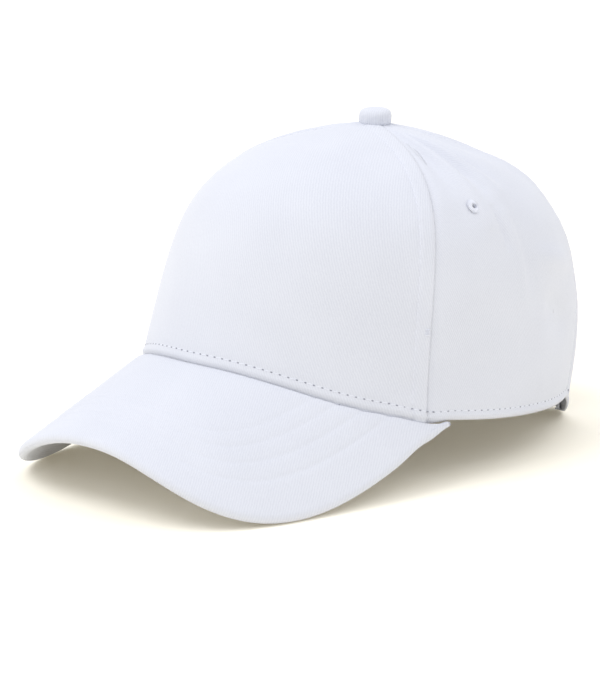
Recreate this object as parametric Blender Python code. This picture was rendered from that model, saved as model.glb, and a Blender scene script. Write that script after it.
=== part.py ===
"""Five-panel baseball cap with a pre-curved brim and a buckled strap at the back.

The cap is put down on a table: it stands on the two drooping sides of its brim and on the hem
at the back. +Z is up, the brim points to -Y and the wearer's left is +X. The origin is on the
table under the middle of the cap. Lengths are in millimetres until the function `metres`.
"""

import math

import bmesh
import bpy
from mathutils import Matrix, Vector

# Crown: a dome over an ellipse. Angles go round it from the front (0) over the left side (90).
CROWN_HALF_LENGTH = 104.0
CROWN_HALF_WIDTH = 81.0
CROWN_HEIGHT = 136.0
APEX_BACK = 9.5             # the button sits this far behind the middle of the head opening
LEAN_MEAN, LEAN_FRONT = 2.0, 13.5        # inward lean of the wall at the hem, degrees
CREST_MEAN, CREST_BACK = 7.5, 2.5        # slope of the top beside the button, degrees
WALL_PULL, CREST_PULL = 63.0, 90.0       # how far the wall and the top keep their direction
FRONT_SEAM, SIDE_SEAM, BACK_SEAM = 61.5, 137.0, 180.0
SEAM_SWING = 5.8            # degrees that the front seams swing back between the hem and the button
TOP_RISE = 0.985            # the panels stop here, round the hole for the button's rivet
FABRIC = 0.8
LAYER_GAP = 0.4
SEAM_GAP = 0.4

# Brim: a board between two covers, pitched down forwards and arched from side to side.
BRIM_PITCH = 21.0
BRIM_DROOP, DROOP_POWER = 50.0, 2.3
BRIM_HALF_WIDTH = 77.6
BRIM_FLARE = 1.8            # the brim is this much wider, on each side, than its seam
BRIM_REACH = 57.0
BRIM_CENTRE_Y = -31.0
BRIM_SQUARENESS = 3.4
BRIM_END = 69.0             # the brim is sewn to the crown as far round as this angle
TUCK_START = 48.0           # from here to its end the brim's seam sinks to the crown's hem
BRIM_THICK = 3.4
BRIM_COVER = 0.6
BRIM_EDGE_INSET = 0.985     # the board stops just short of the covers' turned edge
BRIM_END_TAPER = 0.62       # share of its thickness that the brim loses at its two ends

# Back opening and its strap, which lies on a round arc inside the crown's wall.
ARCH_HALF_WIDTH, ARCH_HEIGHT = 38.0, 48.0
BINDING_RADIUS, BINDING_CLEARANCE = 0.9, 1.5
HEM_SIDE = 15.5             # height of the soft hem beside the strap's pockets
HEM_SIDE_Y, HEM_LEVEL_Y = 60.0, 91.0     # it is level from the first, and on the table at the second
ARC_CENTRE_Y = 34.7
STRAP_INNER, STRAP_OUTER = 64.4, 65.8
STRAP_END = 44.5
STRAP_LOW, STRAP_HIGH = 3.5, 21.5
SWEATBAND_RISE = 0.18
SWEATBAND_END = 156.5

EYELET_RISE = 0.587
SIDE_EYELET, BACK_EYELET = 78.8, 152.0
EYELET_HOLE = 2.6

COTTON = (0.83, 0.85, 0.91)
METAL = (0.62, 0.60, 0.56)


def smooth(t):
    t = min(1.0, max(0.0, t))
    return t * t * (3 - 2 * t)


def opening_edge(degrees):
    """Point of the head opening's ellipse that lies in this direction, and its radius."""
    angle = math.radians(degrees)
    s, c = math.sin(angle), math.cos(angle)
    radius = 1 / math.hypot(s / CROWN_HALF_WIDTH, c / CROWN_HALF_LENGTH)
    return radius * s, -radius * c, radius


def brim_fall(x, y):
    """Height of the brim's upper face over its height at the middle of the front seam."""
    pitched = math.tan(math.radians(BRIM_PITCH)) * (y + CROWN_HALF_LENGTH)
    return pitched - BRIM_DROOP * abs(x / BRIM_HALF_WIDTH) ** DROOP_POWER


def brim_normal(x, y):
    across = DROOP_POWER * BRIM_DROOP / BRIM_HALF_WIDTH
    across *= abs(x / BRIM_HALF_WIDTH) ** (DROOP_POWER - 1)
    slope = math.tan(math.radians(BRIM_PITCH))
    return Vector((math.copysign(across, x), -slope, 1)).normalized()


def brim_rim(share):
    """Point of the brim's outer edge, from -1 at the right end to 1 at the left end."""
    angle = share * math.pi / 2
    s, c = math.sin(angle), math.cos(angle)
    reach = CROWN_HALF_LENGTH + BRIM_REACH + BRIM_CENTRE_Y
    n = BRIM_SQUARENESS
    radius = (abs(s / BRIM_HALF_WIDTH) ** n + abs(c / reach) ** n) ** (-1 / n)
    flare = 1 + BRIM_FLARE / BRIM_HALF_WIDTH * smooth(radius * c / 35)
    return flare * radius * s, BRIM_CENTRE_Y - radius * c


def brim_lift():
    """Height of the front seam's middle at which the brim's sides just touch the table."""
    lowest = 0.0
    for step in range(201):
        x, y = brim_rim(step / 200)
        lowest = min(lowest, brim_fall(x, y) - BRIM_THICK * brim_normal(x, y).z)
    return -lowest


BRIM_LIFT = brim_lift()


def brim_tuck(degrees):
    """How far the brim sinks at its ends, where its seam runs out at the crown's hem."""
    return BRIM_THICK * smooth((abs(degrees) - TUCK_START) / (BRIM_END - TUCK_START))


def hem_height(degrees):
    """The hem follows the brim, runs level along the side and comes down to the table behind."""
    around = abs(degrees)
    x, y, _ = opening_edge(min(around, BRIM_END))
    height = BRIM_LIFT + brim_fall(x, y) - BRIM_THICK
    if around > BRIM_END:
        behind = opening_edge(around)[1]
        left = max(0.0, (HEM_SIDE_Y - behind) / (HEM_SIDE_Y - y))
        height = HEM_SIDE + (height - HEM_SIDE) * left**1.35
        height *= 1 - smooth((behind - HEM_SIDE_Y) / (HEM_LEVEL_Y - HEM_SIDE_Y))
    return height


def bezier(t, a, b, c, d):
    return (1 - t) ** 3 * a + 3 * (1 - t) ** 2 * t * b + 3 * (1 - t) * t * t * c + t**3 * d


def swung(degrees, rise):
    """The front panel widens upward, so every line up the crown swings back as it rises."""
    around = abs(degrees)
    share = smooth(around / FRONT_SEAM) * (1 - smooth((around - FRONT_SEAM) / (SIDE_SEAM - FRONT_SEAM)))
    return degrees + math.copysign(SEAM_SWING * min(1.0, rise) * share, degrees)


def crown_radius(degrees, rise):
    """Level distance from the crown's axis; rise goes from 0 at the brim to 1 at the button."""
    degrees = swung(degrees, rise)
    cosine = math.cos(math.radians(degrees))
    radius = opening_edge(degrees)[2]
    lean = math.radians(LEAN_MEAN + LEAN_FRONT * cosine)
    crest = math.radians(CREST_MEAN - CREST_BACK * cosine)
    wall = radius - WALL_PULL * math.sin(lean)
    return bezier(rise, radius, wall, CREST_PULL * math.cos(crest), 0)


def crown_face(degrees, rise):
    """Point of the crown's outer face."""
    radius = crown_radius(degrees, rise)
    degrees = swung(degrees, rise)
    cosine = math.cos(math.radians(degrees))
    lean = math.radians(LEAN_MEAN + LEAN_FRONT * cosine)
    crest = math.radians(CREST_MEAN - CREST_BACK * cosine)
    foot = hem_height(degrees) + BRIM_THICK
    height = CROWN_HEIGHT - foot
    up = bezier(rise, 0, WALL_PULL * math.cos(lean), height - CREST_PULL * math.sin(crest), height)
    back = APEX_BACK * max(0.0, up / height) ** 1.5
    angle = math.radians(degrees)
    return Vector((radius * math.sin(angle), back - radius * math.cos(angle), foot + up))


def crown_normal(degrees, rise):
    step = 0.01
    rise = min(rise, 0.97)
    around = crown_face(degrees + 1, rise) - crown_face(degrees - 1, rise)
    upward = crown_face(degrees, rise + step) - crown_face(degrees, max(0, rise - step))
    return around.cross(upward).normalized()


def crown_layer(degrees, rise, depth):
    """Point this deep under the outer face."""
    return crown_face(degrees, rise) - depth * crown_normal(degrees, rise)


def back_wall(x, height):
    """Point of the crown's outer face behind the head, at this x and height."""
    low_angle, high_angle = 100.0, 180.0
    for _ in range(24):
        angle = (low_angle + high_angle) / 2
        low, high = 0.0, 0.7
        for _ in range(24):
            rise = (low + high) / 2
            if crown_face(angle, rise).z < height:
                low = rise
            else:
                high = rise
        if crown_face(angle, rise).x > abs(x):
            low_angle = angle
        else:
            high_angle = angle
    point = crown_face(angle, rise)
    return Vector((x, point.y, height))


def middle_y():
    """Middle of the cap's length, from the brim's edge to the tape on the back arch."""
    back = back_wall(0, ARCH_HEIGHT - BINDING_CLEARANCE).y + BINDING_RADIUS
    front = BRIM_CENTRE_Y - (CROWN_HALF_LENGTH + BRIM_REACH + BRIM_CENTRE_Y)
    return (front + back) / 2


MIDDLE_Y = middle_y()


def metres(point):
    """Millimetres round the head opening's middle to metres round the origin."""
    x, y, z = point
    return Vector((x, y - MIDDLE_Y, z)) / 1000


# Making objects

def clear_scene():
    for obj in list(bpy.data.objects):
        bpy.data.objects.remove(obj)


def material(name, colour, roughness, metallic=0.0):
    made = bpy.data.materials.new(name)
    made.use_nodes = True
    shader = made.node_tree.nodes["Principled BSDF"]
    shader.inputs["Base Color"].default_value = (*colour, 1)
    shader.inputs["Roughness"].default_value = roughness
    shader.inputs["Metallic"].default_value = metallic
    return made


def finish(name, bm, look, pivot=None):
    """Turns a bmesh into an object, with its origin on `pivot` where it moves."""
    bmesh.ops.recalc_face_normals(bm, faces=bm.faces)
    if bm.calc_volume(signed=True) < 0:
        bmesh.ops.reverse_faces(bm, faces=bm.faces)
    origin = metres(pivot) if pivot else Vector((0, 0, 0))
    bmesh.ops.translate(bm, verts=bm.verts, vec=-origin)
    mesh = bpy.data.meshes.new(name)
    bm.to_mesh(mesh)
    bm.free()
    mesh.shade_smooth()
    mesh.set_sharp_from_angle(angle=math.radians(35))
    obj = bpy.data.objects.new(name, mesh)
    obj.location = origin
    bpy.context.scene.collection.objects.link(obj)
    if look:
        mesh.materials.append(look)
    return obj


def closed_sheet(name, look, columns, rows, outer, inner, pivot=None):
    """A grid extruded into a closed sheet: one side lies on `outer`, the other on `inner`."""
    bm = bmesh.new()
    bmesh.ops.create_grid(bm, x_segments=columns, y_segments=rows, size=0.5)
    near = list(bm.verts)
    grown = bmesh.ops.extrude_face_region(bm, geom=bm.faces[:])["geom"]
    far = [item for item in grown if isinstance(item, bmesh.types.BMVert)]
    for verts, face in ((near, inner), (far, outer)):
        for vert in verts:
            vert.co = metres(face(vert.co.x + 0.5, vert.co.y + 0.5))
    return finish(name, bm, look, pivot)


def turned(name, look, profile, place, axis, steps=16):
    """Spins a closed profile of (radius, height) points round `axis` through `place`."""
    bm = bmesh.new()
    verts = [bm.verts.new((radius, 0, height)) for radius, height in profile]
    edges = [bm.edges.new((a, b)) for a, b in zip(verts, verts[1:] + verts[:1])]
    bmesh.ops.spin(bm, geom=verts + edges, cent=(0, 0, 0), axis=(0, 0, 1),
                   angle=2 * math.pi, steps=steps, use_merge=True)
    bmesh.ops.remove_doubles(bm, verts=bm.verts, dist=0.001)
    bmesh.ops.dissolve_degenerate(bm, edges=bm.edges, dist=0.001)
    turn = Vector((0, 0, 1)).rotation_difference(Vector(axis)).to_matrix().to_4x4()
    bmesh.ops.transform(bm, matrix=Matrix.Translation(place) @ turn, verts=bm.verts)
    for vert in bm.verts:
        vert.co = metres(vert.co)
    return finish(name, bm, look)


def rod(name, look, radius, start, end, segments=14):
    """A cylinder from start to end."""
    start, end = Vector(start), Vector(end)
    bm = bmesh.new()
    bmesh.ops.create_cone(bm, cap_ends=True, segments=segments, radius1=radius, radius2=radius,
                          depth=(end - start).length)
    turn = Vector((0, 0, 1)).rotation_difference(end - start).to_matrix().to_4x4()
    bmesh.ops.transform(bm, matrix=Matrix.Translation((start + end) / 2) @ turn, verts=bm.verts)
    for vert in bm.verts:
        vert.co = metres(vert.co)
    return finish(name, bm, look)


def block(name, look, low, high, pivot=None, bevel=0.0):
    """A box between two corners, with its edges rounded."""
    low, high = Vector(low), Vector(high)
    bm = bmesh.new()
    bmesh.ops.create_cube(bm, size=1)
    for vert in bm.verts:
        vert.co = metres((low + high) / 2 + vert.co * (high - low))
    if bevel:
        bmesh.ops.bevel(bm, geom=bm.edges[:], offset=bevel / 1000, affect="EDGES", segments=2,
                        profile=0.5, material=-1)
    return finish(name, bm, look, pivot)


def boolean(obj, other, operation):
    """Joins or cuts with a helper, which itself is not part of the cap."""
    other.hide_render = True
    other.display_type = "WIRE"
    step = obj.modifiers.new(other.name, "BOOLEAN")
    step.object = other
    step.operation = operation


# Crown

def crown_sheet(name, look, start, end, depth, thick, inset=SEAM_GAP / 2, rises=(0.0, TOP_RISE),
                skirt=BRIM_THICK, columns=14, rows=12):
    """A sheet of the crown between two angles, drawn in by `inset` from both its side edges.

    Its lowest row hangs straight down by `skirt`, behind the brim's inner edge.
    """
    low, high = rises

    def place(across, height, at_depth):
        if skirt:
            rise = low + (high - low) * max(0.0, height - 1 / rows) / (1 - 1 / rows)
        else:
            rise = low + (high - low) * height
        degrees = start + (end - start) * across
        margin = math.degrees(inset / crown_radius(degrees, rise))
        degrees = start + margin + (end - start - 2 * margin) * across
        point = crown_layer(degrees, rise, at_depth(degrees, rise))
        if skirt and height < 0.5 / rows:
            point.z -= skirt
        return point

    def outer(across, height):
        return place(across, height, depth)

    def inner(across, height):
        return place(across, height, lambda degrees, rise: depth(degrees, rise) + thick)

    return closed_sheet(name, look, columns, rows, outer, inner)


def at(depth):
    """A layer that lies at the same depth all round."""
    return lambda degrees, rise: depth


def crown_panels(look):
    sides = {"left": 1, "right": -1}
    front = crown_sheet("front_panel", look, -FRONT_SEAM, FRONT_SEAM, at(0), FABRIC, columns=22)
    panels = {"front": front}
    for side, sign in sides.items():
        for name, near, far in (("side", FRONT_SEAM, SIDE_SEAM), ("back", SIDE_SEAM, BACK_SEAM)):
            start, end = sorted((sign * near, sign * far))
            panels[name, side] = crown_sheet(f"{name}_panel_{side}", look, start, end, at(0),
                                             FABRIC, columns=14)
    arch = arch_cutter()
    for side in sides:
        boolean(panels["back", side], arch, "DIFFERENCE")
    return panels


def arch_cutter():
    """An elliptical bar through the back of the crown, which leaves the arched opening."""
    bm = bmesh.new()
    bmesh.ops.create_cone(bm, cap_ends=True, segments=44, radius1=1, radius2=1, depth=1)
    bmesh.ops.rotate(bm, verts=bm.verts, cent=(0, 0, 0), matrix=Matrix.Rotation(math.pi / 2, 3, "X"))
    for vert in bm.verts:
        x, y, z = vert.co
        vert.co = metres((x * ARCH_HALF_WIDTH, 95 + 60 * y, z * ARCH_HEIGHT))
    return finish("arch_cutter", bm, None)


def front_backing(look):
    crown_sheet("front_buckram", look, -FRONT_SEAM, FRONT_SEAM, at(FABRIC + LAYER_GAP), 0.8,
                inset=6.2, rises=(0.0, 0.72), skirt=2.6, columns=16, rows=8)


def seam_tapes(look):
    """Each seam is covered inside by a tape, which narrows towards the button."""
    half_width = 5.0
    depth = FABRIC + LAYER_GAP + 0.15
    routes = {
        "seam_tape_front_left": (FRONT_SEAM, 0.03),
        "seam_tape_front_right": (-FRONT_SEAM, 0.03),
        "seam_tape_side_left": (SIDE_SEAM, 0.03),
        "seam_tape_side_right": (-SIDE_SEAM, 0.03),
        "seam_tape_back": (BACK_SEAM, 0.31),
    }
    for name, (seam, start) in routes.items():

        def place(across, height, layer, seam=seam, start=start):
            rise = start + (0.955 - start) * height
            radius = crown_radius(seam, rise)
            half = math.degrees(min(half_width / radius, 0.35))
            return crown_layer(seam + (2 * across - 1) * half, rise, layer)

        closed_sheet(name, look, 1, 12, lambda a, h, p=place: p(a, h, depth),
                     lambda a, h, p=place: p(a, h, depth + 0.6))


def sweatband(look):
    """The band inside the hem. Behind, where the wall swells out, it hangs straight and leaves
    a pocket for the strap."""
    def depth(degrees, rise):
        pocket = 3.6 + 4.4 * rise / SWEATBAND_RISE
        return 2.4 + pocket * smooth((abs(degrees) - 124) / 20)

    crown_sheet("sweatband", look, -SWEATBAND_END, SWEATBAND_END, depth, 1.2,
                rises=(0.0, SWEATBAND_RISE), skirt=2.4, columns=44, rows=3)


def care_label(look):
    crown_sheet("care_label", look, 117, 128, at(2.0), 0.5, rises=(0.22, 0.4), skirt=0,
                columns=2, rows=2)


def arch_binding(look):
    """A folded tape along the edge of the back opening, from hem to hem."""
    curve = bpy.data.curves.new("arch_binding", "CURVE")
    curve.dimensions = "3D"
    curve.bevel_depth = BINDING_RADIUS / 1000
    curve.bevel_resolution = 1
    curve.use_fill_caps = True
    steps = 28
    points = []
    for step in range(steps + 1):
        angle = math.radians(2 + 176 * step / steps)
        x = (ARCH_HALF_WIDTH - BINDING_CLEARANCE) * math.cos(angle)
        z = (ARCH_HEIGHT - BINDING_CLEARANCE) * math.sin(angle)
        points.append(back_wall(x, z))
    spline = curve.splines.new("POLY")
    spline.points.add(steps)
    for target, point in zip(spline.points, points):
        target.co = (*metres(point), 1)
    curve.materials.append(look)
    obj = bpy.data.objects.new("arch_binding", curve)
    bpy.context.scene.collection.objects.link(obj)


def eyelets(look, panels):
    """Stitched vent rings through the side and back panels, whose holes they line."""
    ring = ((1.5, 0.75), (2.1, 1.0), (3.0, 0.8), (3.5, 0.35), (2.25, 0.35), (2.25, -1.1), (1.5, -1.1))
    for (name, side), panel in [item for item in panels.items() if item[0] != "front"]:
        sign = 1 if side == "left" else -1
        degrees = sign * (SIDE_EYELET if name == "side" else BACK_EYELET)
        place = crown_face(degrees, EYELET_RISE)
        out = crown_normal(degrees, EYELET_RISE)
        hole = rod(f"eyelet_hole_{name}_{side}", None, EYELET_HOLE, place - 4 * out, place + 4 * out)
        boolean(panel, hole, "DIFFERENCE")
        turned(f"eyelet_{name}_{side}", look, ring, place, out)


def button(cloth, metal):
    """A covered shell button, held by a rivet through the hole where the panels meet."""
    apex = Vector((0, APEX_BACK, CROWN_HEIGHT))
    cover = ((0, 5.3), (2.6, 5.1), (4.8, 4.3), (6.2, 3.0), (6.75, 1.4), (6.6, -0.1),
             (5.9, -0.1), (5.9, 1.4), (5.4, 2.6), (4.2, 3.7), (2.3, 4.4), (0, 4.5))
    core = ((0, 4.1), (2.2, 4.0), (3.9, 3.3), (5.0, 2.3), (5.5, 1.3), (5.5, 0.4), (2.2, 0.4),
            (2.2, 2.2), (0, 2.2))
    rivet = ((0, 1.8), (1.8, 1.8), (1.8, -2.7), (6.5, -3.0), (6.5, -3.8), (0, -3.8))
    turned("button_cover", cloth, cover, apex, (0, 0, 1), steps=20)
    turned("button_core", metal, core, apex, (0, 0, 1))
    turned("button_rivet", metal, rivet, apex, (0, 0, 1))


# Brim

def brim_sheet(name, look, depth, thick, reach=1.0, rows=6):
    """A layer of the brim, from the crown's wall out to its edge.

    Beside the wall its depth runs straight down, and 8 mm out it is square to the brim.
    """
    def place(across, out, at_depth):
        share = 2 * across - 1
        x, y, radius = opening_edge(share * BRIM_END)
        clear = 1 + LAYER_GAP / radius
        rim_x, rim_y = brim_rim(share)
        out *= reach
        span = math.hypot(rim_x - x * clear, rim_y - y * clear)
        x = x * clear * (1 - out) + rim_x * out
        y = y * clear * (1 - out) + rim_y * out
        turn = smooth(out * span / 8)
        down = Vector((0, 0, 1)).lerp(brim_normal(x, y), turn).normalized()
        sunk = brim_tuck(share * BRIM_END) * (1 - smooth(out * span / 14))
        taper = 1 - BRIM_END_TAPER * smooth((abs(share) - 0.86) / 0.14)
        return Vector((x, y, BRIM_LIFT + brim_fall(x, y) - sunk)) - taper * at_depth * down

    closed_sheet(name, look, 40, rows, lambda a, o: place(a, o, depth),
                 lambda a, o: place(a, o, depth + thick))


def brim(cloth, board):
    board_depth = BRIM_COVER + LAYER_GAP
    board_thick = BRIM_THICK - 2 * board_depth
    brim_sheet("brim_top_cover", cloth, 0, BRIM_COVER)
    brim_sheet("brim_board", board, board_depth, board_thick, reach=BRIM_EDGE_INSET)
    brim_sheet("brim_under_cover", cloth, BRIM_THICK - BRIM_COVER, BRIM_COVER)


# Closure: the strap runs from its pocket on the left through the buckle into the right pocket.

def arc_point(degrees, radius, height):
    angle = math.radians(degrees)
    x, y = radius * math.sin(angle), ARC_CENTRE_Y + radius * math.cos(angle)
    return Vector((x, y, height))


def strap(look):
    """The strap slides along its own arc, so it turns about that arc's centre."""
    def place(across, up, radius):
        height = STRAP_LOW + (STRAP_HIGH - STRAP_LOW) * up
        return arc_point(STRAP_END * (2 * across - 1), radius, height)

    closed_sheet("closure_strap", look, 28, 1, lambda a, u: place(a, u, STRAP_OUTER),
                 lambda a, u: place(a, u, STRAP_INNER), pivot=(0, ARC_CENTRE_Y, 12.5))


BAR_ANGLE, BAR_RADIUS = -11.0, 68.3       # place of the buckle's bar on the strap's arc
PIN_X, PIN_Y = 7.6, 102.7


def buckle_tab(look):
    """A ribbon folded round the buckle's bar, with both its ends in the right pocket."""
    thick, layers, fold = 0.6, (66.35, 67.05), 1.45
    near_bar = BAR_ANGLE - 3.4
    bar = arc_point(BAR_ANGLE, BAR_RADIUS, 0)
    path = [arc_point(-STRAP_END + (near_bar + STRAP_END) * k / 8, layers[1], 0) for k in range(9)]
    for k in range(13):
        angle = math.radians(150 - 300 * k / 12)
        path.append(bar + fold * Vector((math.cos(angle), math.sin(angle), 0)))
    path += [arc_point(near_bar - (near_bar + STRAP_END) * k / 8, layers[0], 0) for k in range(9)]
    last = len(path) - 1

    def place(along, up, side):
        k = round(along * last)
        ahead = path[min(k + 1, last)] - path[max(k - 1, 0)]
        across = Vector((-ahead.y, ahead.x, 0)).normalized()
        return path[k] + side * thick / 2 * across + Vector((0, 0, 4.2 + 16.6 * up))

    closed_sheet("buckle_tab", look, last, 1, lambda a, u: place(a, u, 1),
                 lambda a, u: place(a, u, -1))


def buckle(metal):
    """A clamp buckle: a frame that the strap passes through, and a lever that presses it flat."""
    low, high = 1.2, 23.8
    rail = 1.8
    frame = block("buckle_frame", metal, (-8, 96.8, low + 0.4), (10.0, 97.7, high - 0.4))
    for name, base in (("lower_rail", low), ("upper_rail", high - rail)):
        side = block(name, None, (-15.0, 96.4, base), (10.6, 104.1, base + rail), bevel=0.4)
        boolean(frame, side, "UNION")
    bar = arc_point(BAR_ANGLE, BAR_RADIUS, 0)
    up = Vector((0, 0, 1))
    boolean(frame, rod("tab_bar", None, 0.8, bar + (low + 1) * up, bar + (high - 1) * up), "UNION")
    pin = Vector((PIN_X, PIN_Y, 0))
    boolean(frame, rod("pin_bore", None, 1.0, pin, pin + 26 * up), "DIFFERENCE")
    rod("lever_pin", metal, 0.7, pin + low * up, pin + high * up)

    inside = 0.6
    bottom, top = low + rail + inside, high - rail - inside
    lever = block("buckle_lever", metal, (-9.2, 101.2, bottom), (7.6, 102.4, top),
                  pivot=(PIN_X, PIN_Y, 12.5), bevel=0.3)
    boolean(lever, rod("lever_barrel", None, 1.6, pin + bottom * up, pin + top * up), "UNION")
    lip = block("lever_lip", None, (-9.6, 101.3, bottom + 3), (-8.0, 103.7, top - 3), bevel=0.5)
    boolean(lever, lip, "UNION")
    boolean(lever, rod("lever_bore", None, 1.0, pin, pin + 26 * up), "DIFFERENCE")


def build():
    clear_scene()
    twill = material("white_cotton_twill", COTTON, 0.9)
    thread = material("white_embroidery_thread", (0.8, 0.82, 0.88), 0.7)
    tape = material("white_cotton_tape", (0.78, 0.8, 0.85), 0.95)
    lining = material("white_sweatband_cotton", (0.8, 0.81, 0.85), 0.95)
    buckram = material("white_buckram", (0.82, 0.82, 0.8), 0.9)
    board = material("white_polyethylene", (0.86, 0.87, 0.88), 0.5)
    metal = material("brushed_steel", METAL, 0.35, metallic=1.0)
    panels = crown_panels(twill)
    front_backing(buckram)
    seam_tapes(tape)
    sweatband(lining)
    care_label(tape)
    arch_binding(twill)
    eyelets(thread, panels)
    button(twill, metal)
    brim(twill, board)
    strap(twill)
    buckle_tab(twill)
    buckle(metal)


build()
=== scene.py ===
"""A white five-panel baseball cap with a quilted brim, put down on a table.

+Z is up, the brim points to -Y and the wearer's left is +X. Shapes are worked out in
millimetres round the middle of the head opening, and `metres` turns them to the frame's metres.
"""

import math

import bmesh
import bpy
from mathutils import Matrix, Vector, noise
from mathutils.kdtree import KDTree


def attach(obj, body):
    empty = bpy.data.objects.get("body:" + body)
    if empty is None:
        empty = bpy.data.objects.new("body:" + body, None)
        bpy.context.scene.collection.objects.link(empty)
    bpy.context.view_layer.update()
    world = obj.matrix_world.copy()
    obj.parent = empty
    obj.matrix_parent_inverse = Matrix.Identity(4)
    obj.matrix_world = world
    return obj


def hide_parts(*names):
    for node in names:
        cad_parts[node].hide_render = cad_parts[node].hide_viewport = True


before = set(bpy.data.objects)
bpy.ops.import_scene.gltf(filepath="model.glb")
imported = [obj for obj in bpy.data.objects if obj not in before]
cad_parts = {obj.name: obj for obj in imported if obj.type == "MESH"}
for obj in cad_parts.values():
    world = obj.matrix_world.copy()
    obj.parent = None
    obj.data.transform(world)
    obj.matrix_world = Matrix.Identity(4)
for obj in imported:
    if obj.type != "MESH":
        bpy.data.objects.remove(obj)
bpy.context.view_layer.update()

for left_over in ("Cube", "Light", "Camera"):
    if left_over in bpy.data.objects:
        bpy.data.objects.remove(bpy.data.objects[left_over])


# Camera
# A long lens, well off the cap's left front corner and a little above the crown's shoulder.

camera = bpy.data.objects.new("camera", bpy.data.cameras.new("camera"))
camera.data.lens = 159.2
camera.data.clip_end = 12
camera.location = (0.8755, -0.9369, 0.3561)
looked_at = Vector((-0.0187, 0.0087, 0.0369))
camera.rotation_mode = "QUATERNION"
camera.rotation_quaternion = (looked_at - camera.location).to_track_quat("-Z", "Y")
bpy.context.scene.collection.objects.link(camera)
bpy.context.scene.camera = camera


# Cotton twill
# The cap's cloth: carded cotton, woven with a steep diagonal wale, washed and pressed but not
# coated. It is dull all over, with a little fuzz that catches light where it turns away.

def linear(colour):
    """Linear RGBA of an sRGB hex colour."""
    shares = [int(colour[k:k + 2], 16) / 255 for k in (1, 3, 5)]
    shares = [c / 12.92 if c <= 0.04045 else ((c + 0.055) / 1.055) ** 2.4 for c in shares]
    return (*shares, 1)


def add(tree, kind, inputs, **settings):
    """Adds a node with its settings; an input is given a value or another node's output."""
    made = tree.nodes.new(kind)
    for name, value in settings.items():
        setattr(made, name, value)
    for name, value in inputs.items():
        if isinstance(value, bpy.types.NodeSocket):
            tree.links.new(value, made.inputs[name])
        else:
            made.inputs[name].default_value = value
    return made


def new_material(name, colour, roughness, **inputs):
    """A material and its tree, with the shader's constant inputs set."""
    made = bpy.data.materials.new(name)
    made.use_nodes = True
    shader = made.node_tree.nodes["Principled BSDF"]
    shader.inputs["Base Color"].default_value = linear(colour)
    shader.inputs["Roughness"].default_value = roughness
    for socket, value in inputs.items():
        shader.inputs[socket.replace("_", " ")].default_value = value
    return made, made.node_tree, shader


WAVE_PERIOD = math.pi / 10         # a wave texture repeats at this length at scale 1


def woven(name, thread, gap, pitch, turn, depth, blotch=0.03):
    """Cloth with raised diagonal wales `pitch` metres apart, drawn on the piece's own UV. Its colour is
    partly painted shade, darker towards `gap` in the low parts of wale and yarn, and partly random cloudy
    tone.
    """
    made, tree, shader = new_material(
        name, thread, 0.86, Sheen_Weight=0.18, Sheen_Roughness=0.45, Specular_IOR_Level=0.25)
    cloth = add(tree, "ShaderNodeUVMap", {}, uv_map="cloth").outputs["UV"]
    turned = add(tree, "ShaderNodeMapping", {"Vector": cloth, "Rotation": (0, 0, turn)})
    wales = add(tree, "ShaderNodeTexWave", {
        "Vector": turned.outputs["Vector"], "Scale": WAVE_PERIOD / pitch, "Distortion": 3.2,
        "Detail": 3.0, "Detail Scale": 1.6}, bands_direction="X")
    yarn = add(tree, "ShaderNodeTexNoise", {
        "Vector": cloth, "Scale": 0.9 / pitch, "Detail": 3.0, "Roughness": 0.6})
    height = add(tree, "ShaderNodeMix", {
        "Factor": 0.62, "A": wales.outputs["Fac"], "B": yarn.outputs["Fac"]})
    bump = add(tree, "ShaderNodeBump", {
        "Height": height.outputs["Result"], "Strength": 1.0, "Distance": depth})
    tree.links.new(bump.outputs["Normal"], shader.inputs["Normal"])
    # Painted shade: the colour darkens towards `gap` where the wales and yarn lie low, mixed with random
    # cloudy tone.
    space = add(tree, "ShaderNodeTexCoord", {}).outputs["Object"]
    cloudy = add(tree, "ShaderNodeTexNoise", {"Vector": space, "Scale": 1 / blotch, "Detail": 2.0})
    shade = add(tree, "ShaderNodeMix", {
        "Factor": 0.35, "A": height.outputs["Result"], "B": cloudy.outputs["Fac"]})
    spread = add(tree, "ShaderNodeMapRange", {
        "Value": shade.outputs["Result"], "From Min": 0.25, "From Max": 0.65})
    colour = add(tree, "ShaderNodeMix", {
        "Factor": spread.outputs["Result"], 6: linear(gap), 7: linear(thread)}, data_type="RGBA")
    tree.links.new(colour.outputs[2], shader.inputs["Base Color"])
    return made


# The wale is drawn 0.9 mm wide, about twice the real one, so that it shows from a table's length.
WALE, WALE_TURN, WALE_DEPTH = 0.0009, math.radians(-28), 0.00005
twill = woven("white_cotton_twill", "#d3d6df", "#c9ccd6", WALE, WALE_TURN, WALE_DEPTH)


# Brim
# Two pieces of twill over a white plastic board. They are sewn face to face round the rim and
# turned, then four rows of lockstitch quilt them to the board, and the brim is pressed to an arch.

HEAD_HALF_LENGTH, HEAD_HALF_WIDTH = 104.0, 81.0
CAP_MIDDLE = 26.3025               # from the middle of the head forward to that of the whole cap
BRIM_PITCH = math.tan(math.radians(21.0))
BRIM_DROOP, DROOP_POWER = 50.0, 2.3         # how far its sides droop, and how late they start to
BRIM_HALF_WIDTH, BRIM_REACH, BRIM_CENTRE_Y = 77.6, 57.0, -31.0
BRIM_SQUARENESS, BRIM_FLARE = 3.4, 1.8
BRIM_END = 69.0                    # degrees round the crown to where the brim's seam ends
TUCK_START = 48.0                  # from here to its end the seam sinks to the crown's hem
BRIM_THICK = 3.4
BRIM_END_TAPER = 0.62              # share of its thickness that it loses at its two ends
QUILT_ROWS = (10.8, 16.6, 22.4, 28.2)       # from the rim
QUILT_PITCH = 3.8
FURROW_DEPTH, FURROW_WIDTH = 0.26, 0.8      # where a row pulls the cover down


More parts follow.
